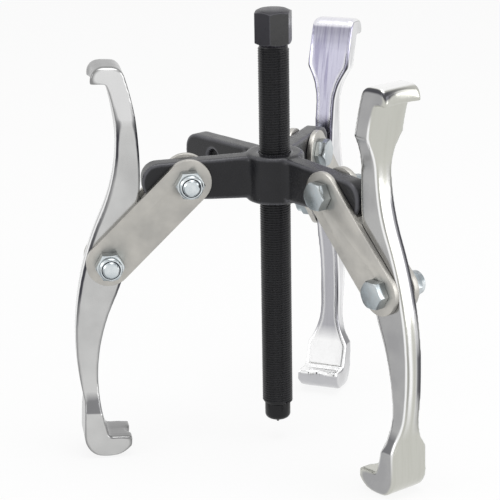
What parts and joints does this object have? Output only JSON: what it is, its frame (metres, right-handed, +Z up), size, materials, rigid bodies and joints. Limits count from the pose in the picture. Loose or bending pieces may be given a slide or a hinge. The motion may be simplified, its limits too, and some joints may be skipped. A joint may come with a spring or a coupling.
{
  "type": "gear puller",
  "caption": "Three-jaw gear puller: forcing screw through a four-arm crosshead, with reversible two-ended jaws hung on paired link bars.",
  "frame": {"origin": "on the screw's axis, at the end face of its nose, where the small centring point stands", "axes": "+Z up along the forcing screw towards its hex head; +X out along the right-hand jaw's arm, opposite the spare arm; +Y completes the right hand"},
  "size_m": [0.1892, 0.2129, 0.2514],
  "materials": {
    "black_forging": "satin black over forged steel",
    "black_screw": "black oxide, lightly oiled",
    "jaw_steel": "bright plated forging",
    "link_steel": "plated bar, satin",
    "zinc": "zinc plate",
    "nylon": "dyed nylon"
  },
  "bodies": {
    "crosshead": {"crosshead": "black_forging", "right_arm_bolt": "zinc", "right_arm_nut": "zinc", "right_arm_nut_ring": "nylon", "rear_arm_bolt": "zinc", "rear_arm_nut": "zinc", "rear_arm_nut_ring": "nylon", "left_arm_bolt": "zinc", "left_arm_nut": "zinc", "left_arm_nut_ring": "nylon"},
    "thrust_tip": {"thrust_tip": "black_screw"},
    "screw": {"forcing_screw": "black_screw"},
    "right_links": {"right_link_head_side": "link_steel", "right_link_nut_side": "link_steel", "right_jaw_bolt": "zinc", "right_jaw_nut": "zinc", "right_jaw_nut_ring": "nylon"},
    "right_jaw": {"right_jaw": "jaw_steel"},
    "rear_links": {"rear_link_head_side": "link_steel", "rear_link_nut_side": "link_steel", "rear_jaw_bolt": "zinc", "rear_jaw_nut": "zinc", "rear_jaw_nut_ring": "nylon"},
    "rear_jaw": {"rear_jaw": "jaw_steel"},
    "left_links": {"left_link_head_side": "link_steel", "left_link_nut_side": "link_steel", "left_jaw_bolt": "zinc", "left_jaw_nut": "zinc", "left_jaw_nut_ring": "nylon"},
    "left_jaw": {"left_jaw": "jaw_steel"}
  },
  "joints": [
    {"name": "screw_travel", "type": "slide", "parent": "crosshead", "child": "thrust_tip", "axis": [0, 0, 1], "range_m": [-0.06, 0.12]},
    {"name": "screw_turn", "type": "hinge", "parent": "thrust_tip", "child": "screw", "pos_m": [0, 0, 0.02], "axis": [0, 0, 1], "range_deg": [-15310, 30620]},
    {"name": "right_arm_hinge", "type": "hinge", "parent": "crosshead", "child": "right_links", "pos_m": [0.0495, 0, 0.1465], "axis": [0, -1, 0], "range_deg": [0, 56]},
    {"name": "right_jaw_hinge", "type": "hinge", "parent": "right_links", "child": "right_jaw", "pos_m": [0.09526, 0, 0.10247], "axis": [0, 1, 0], "range_deg": [-1.7, 46]},
    {"name": "rear_arm_hinge", "type": "hinge", "parent": "crosshead", "child": "rear_links", "pos_m": [-0.02475, 0.04287, 0.1465], "axis": [0.866, 0.5, 0], "range_deg": [0, 56]},
    {"name": "rear_jaw_hinge", "type": "hinge", "parent": "rear_links", "child": "rear_jaw", "pos_m": [-0.04736, 0.08202, 0.10191], "axis": [-0.866, -0.5, 0], "range_deg": [-9.4, 37]},
    {"name": "left_arm_hinge", "type": "hinge", "parent": "crosshead", "child": "left_links", "pos_m": [-0.02475, -0.04287, 0.1465], "axis": [-0.866, 0.5, 0], "range_deg": [0, 56]},
    {"name": "left_jaw_hinge", "type": "hinge", "parent": "left_links", "child": "left_jaw", "pos_m": [-0.04759, -0.08243, 0.1024], "axis": [0.866, -0.5, 0], "range_deg": [-0.7, 47]}
  ],
  "couplings": [
    {"joint": "screw_turn", "follows": "screw_travel", "rad_per_m": 4452.7}
  ]
}
